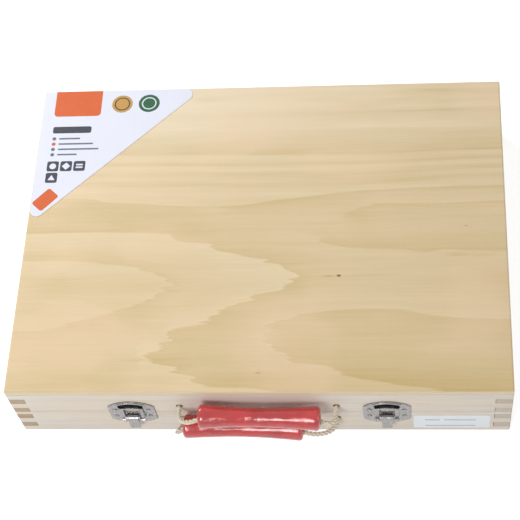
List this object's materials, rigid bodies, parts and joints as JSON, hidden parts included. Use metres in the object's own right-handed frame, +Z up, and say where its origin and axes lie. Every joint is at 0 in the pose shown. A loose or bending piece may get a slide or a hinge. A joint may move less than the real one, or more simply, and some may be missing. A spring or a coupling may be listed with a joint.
{
  "type": "toy tool box",
  "caption": "Flat wooden toy tool case in two hinged halves with finger joints, toggle latches and red rope-slung grips.",
  "frame": {"origin": "centre of the closed case's underside", "axes": "+X to the right along the case's front, +Y to the hinged back, +Z up through the lid"},
  "size_m": [0.3, 0.2418, 0.056],
  "materials": {
    "panel_ply": "smooth sanded",
    "board_wood": "smooth sanded",
    "nickel": "bright plated",
    "red_gloss": "gloss lacquer",
    "cotton_rope": "twisted matte"
  },
  "bodies": {
    "base": {"lower_panel": "panel_ply", "lower_front_board": "board_wood", "lower_back_board": "board_wood", "lower_left_board": "board_wood", "lower_right_board": "board_wood", "left_base_plate": "nickel", "left_lever_pin": "nickel", "left_base_nail_1": "nickel", "left_base_nail_2": "nickel", "right_base_plate": "nickel", "right_lever_pin": "nickel", "right_base_nail_1": "nickel", "right_base_nail_2": "nickel", "left_hinge_lower_leaf": "nickel", "left_hinge_pin": "nickel", "left_hinge_lower_nail_1": "nickel", "left_hinge_lower_nail_2": "nickel", "right_hinge_lower_leaf": "nickel", "right_hinge_pin": "nickel", "right_hinge_lower_nail_1": "nickel", "right_hinge_lower_nail_2": "nickel", "lower_left_knot": "cotton_rope", "lower_right_knot": "cotton_rope"},
    "lid": {"upper_panel": "panel_ply", "upper_front_board": "board_wood", "upper_back_board": "board_wood", "upper_left_board": "board_wood", "upper_right_board": "board_wood", "left_catch_plate": "nickel", "left_catch_nail_1": "nickel", "left_catch_nail_2": "nickel", "right_catch_plate": "nickel", "right_catch_nail_1": "nickel", "right_catch_nail_2": "nickel", "left_hinge_upper_leaf": "nickel", "left_hinge_upper_nail_1": "nickel", "left_hinge_upper_nail_2": "nickel", "right_hinge_upper_leaf": "nickel", "right_hinge_upper_nail_1": "nickel", "right_hinge_upper_nail_2": "nickel", "upper_left_knot": "cotton_rope", "upper_right_knot": "cotton_rope"},
    "left_latch_lever": {"left_lever": "nickel", "left_loop_pin": "nickel"},
    "left_latch_loop": {"left_loop": "nickel"},
    "right_latch_lever": {"right_lever": "nickel", "right_loop_pin": "nickel"},
    "right_latch_loop": {"right_loop": "nickel"},
    "upper_handle": {"upper_grip": "red_gloss", "upper_handle_rope": "cotton_rope"},
    "lower_handle": {"lower_grip": "red_gloss", "lower_handle_rope": "cotton_rope"}
  },
  "joints": [
    {"name": "lid_hinge", "type": "hinge", "parent": "base", "child": "lid", "pos_m": [0, 0.11205, 0.028], "axis": [-1, 0, 0], "range_deg": [0, 180]},
    {"name": "left_lever_pivot", "type": "hinge", "parent": "base", "child": "left_latch_lever", "pos_m": [-0.0766, -0.1129, 0.026], "axis": [-1, 0, 0], "range_deg": [0, 150]},
    {"name": "left_loop_pivot", "type": "hinge", "parent": "left_latch_lever", "child": "left_latch_loop", "pos_m": [-0.0766, -0.1124, 0.0218], "axis": [-1, 0, 0], "range_deg": [-170, 0]},
    {"name": "right_lever_pivot", "type": "hinge", "parent": "base", "child": "right_latch_lever", "pos_m": [0.0766, -0.1129, 0.026], "axis": [-1, 0, 0], "range_deg": [0, 150]},
    {"name": "right_loop_pivot", "type": "hinge", "parent": "right_latch_lever", "child": "right_latch_loop", "pos_m": [0.0766, -0.1124, 0.0218], "axis": [-1, 0, 0], "range_deg": [-170, 0]},
    {"name": "upper_handle_swing", "type": "hinge", "parent": "lid", "child": "upper_handle", "pos_m": [0, -0.1109, 0.0365], "axis": [-1, 0, 0], "range_deg": [-5, 17]},
    {"name": "lower_handle_swing", "type": "hinge", "parent": "base", "child": "lower_handle", "pos_m": [0, -0.1109, 0.0195], "axis": [-1, 0, 0], "range_deg": [-80, 0]}
  ],
  "couplings": [
    {"joint": "left_loop_pivot", "follows": "left_lever_pivot", "ratio": -1.12},
    {"joint": "right_loop_pivot", "follows": "right_lever_pivot", "ratio": -1.12}
  ]
}
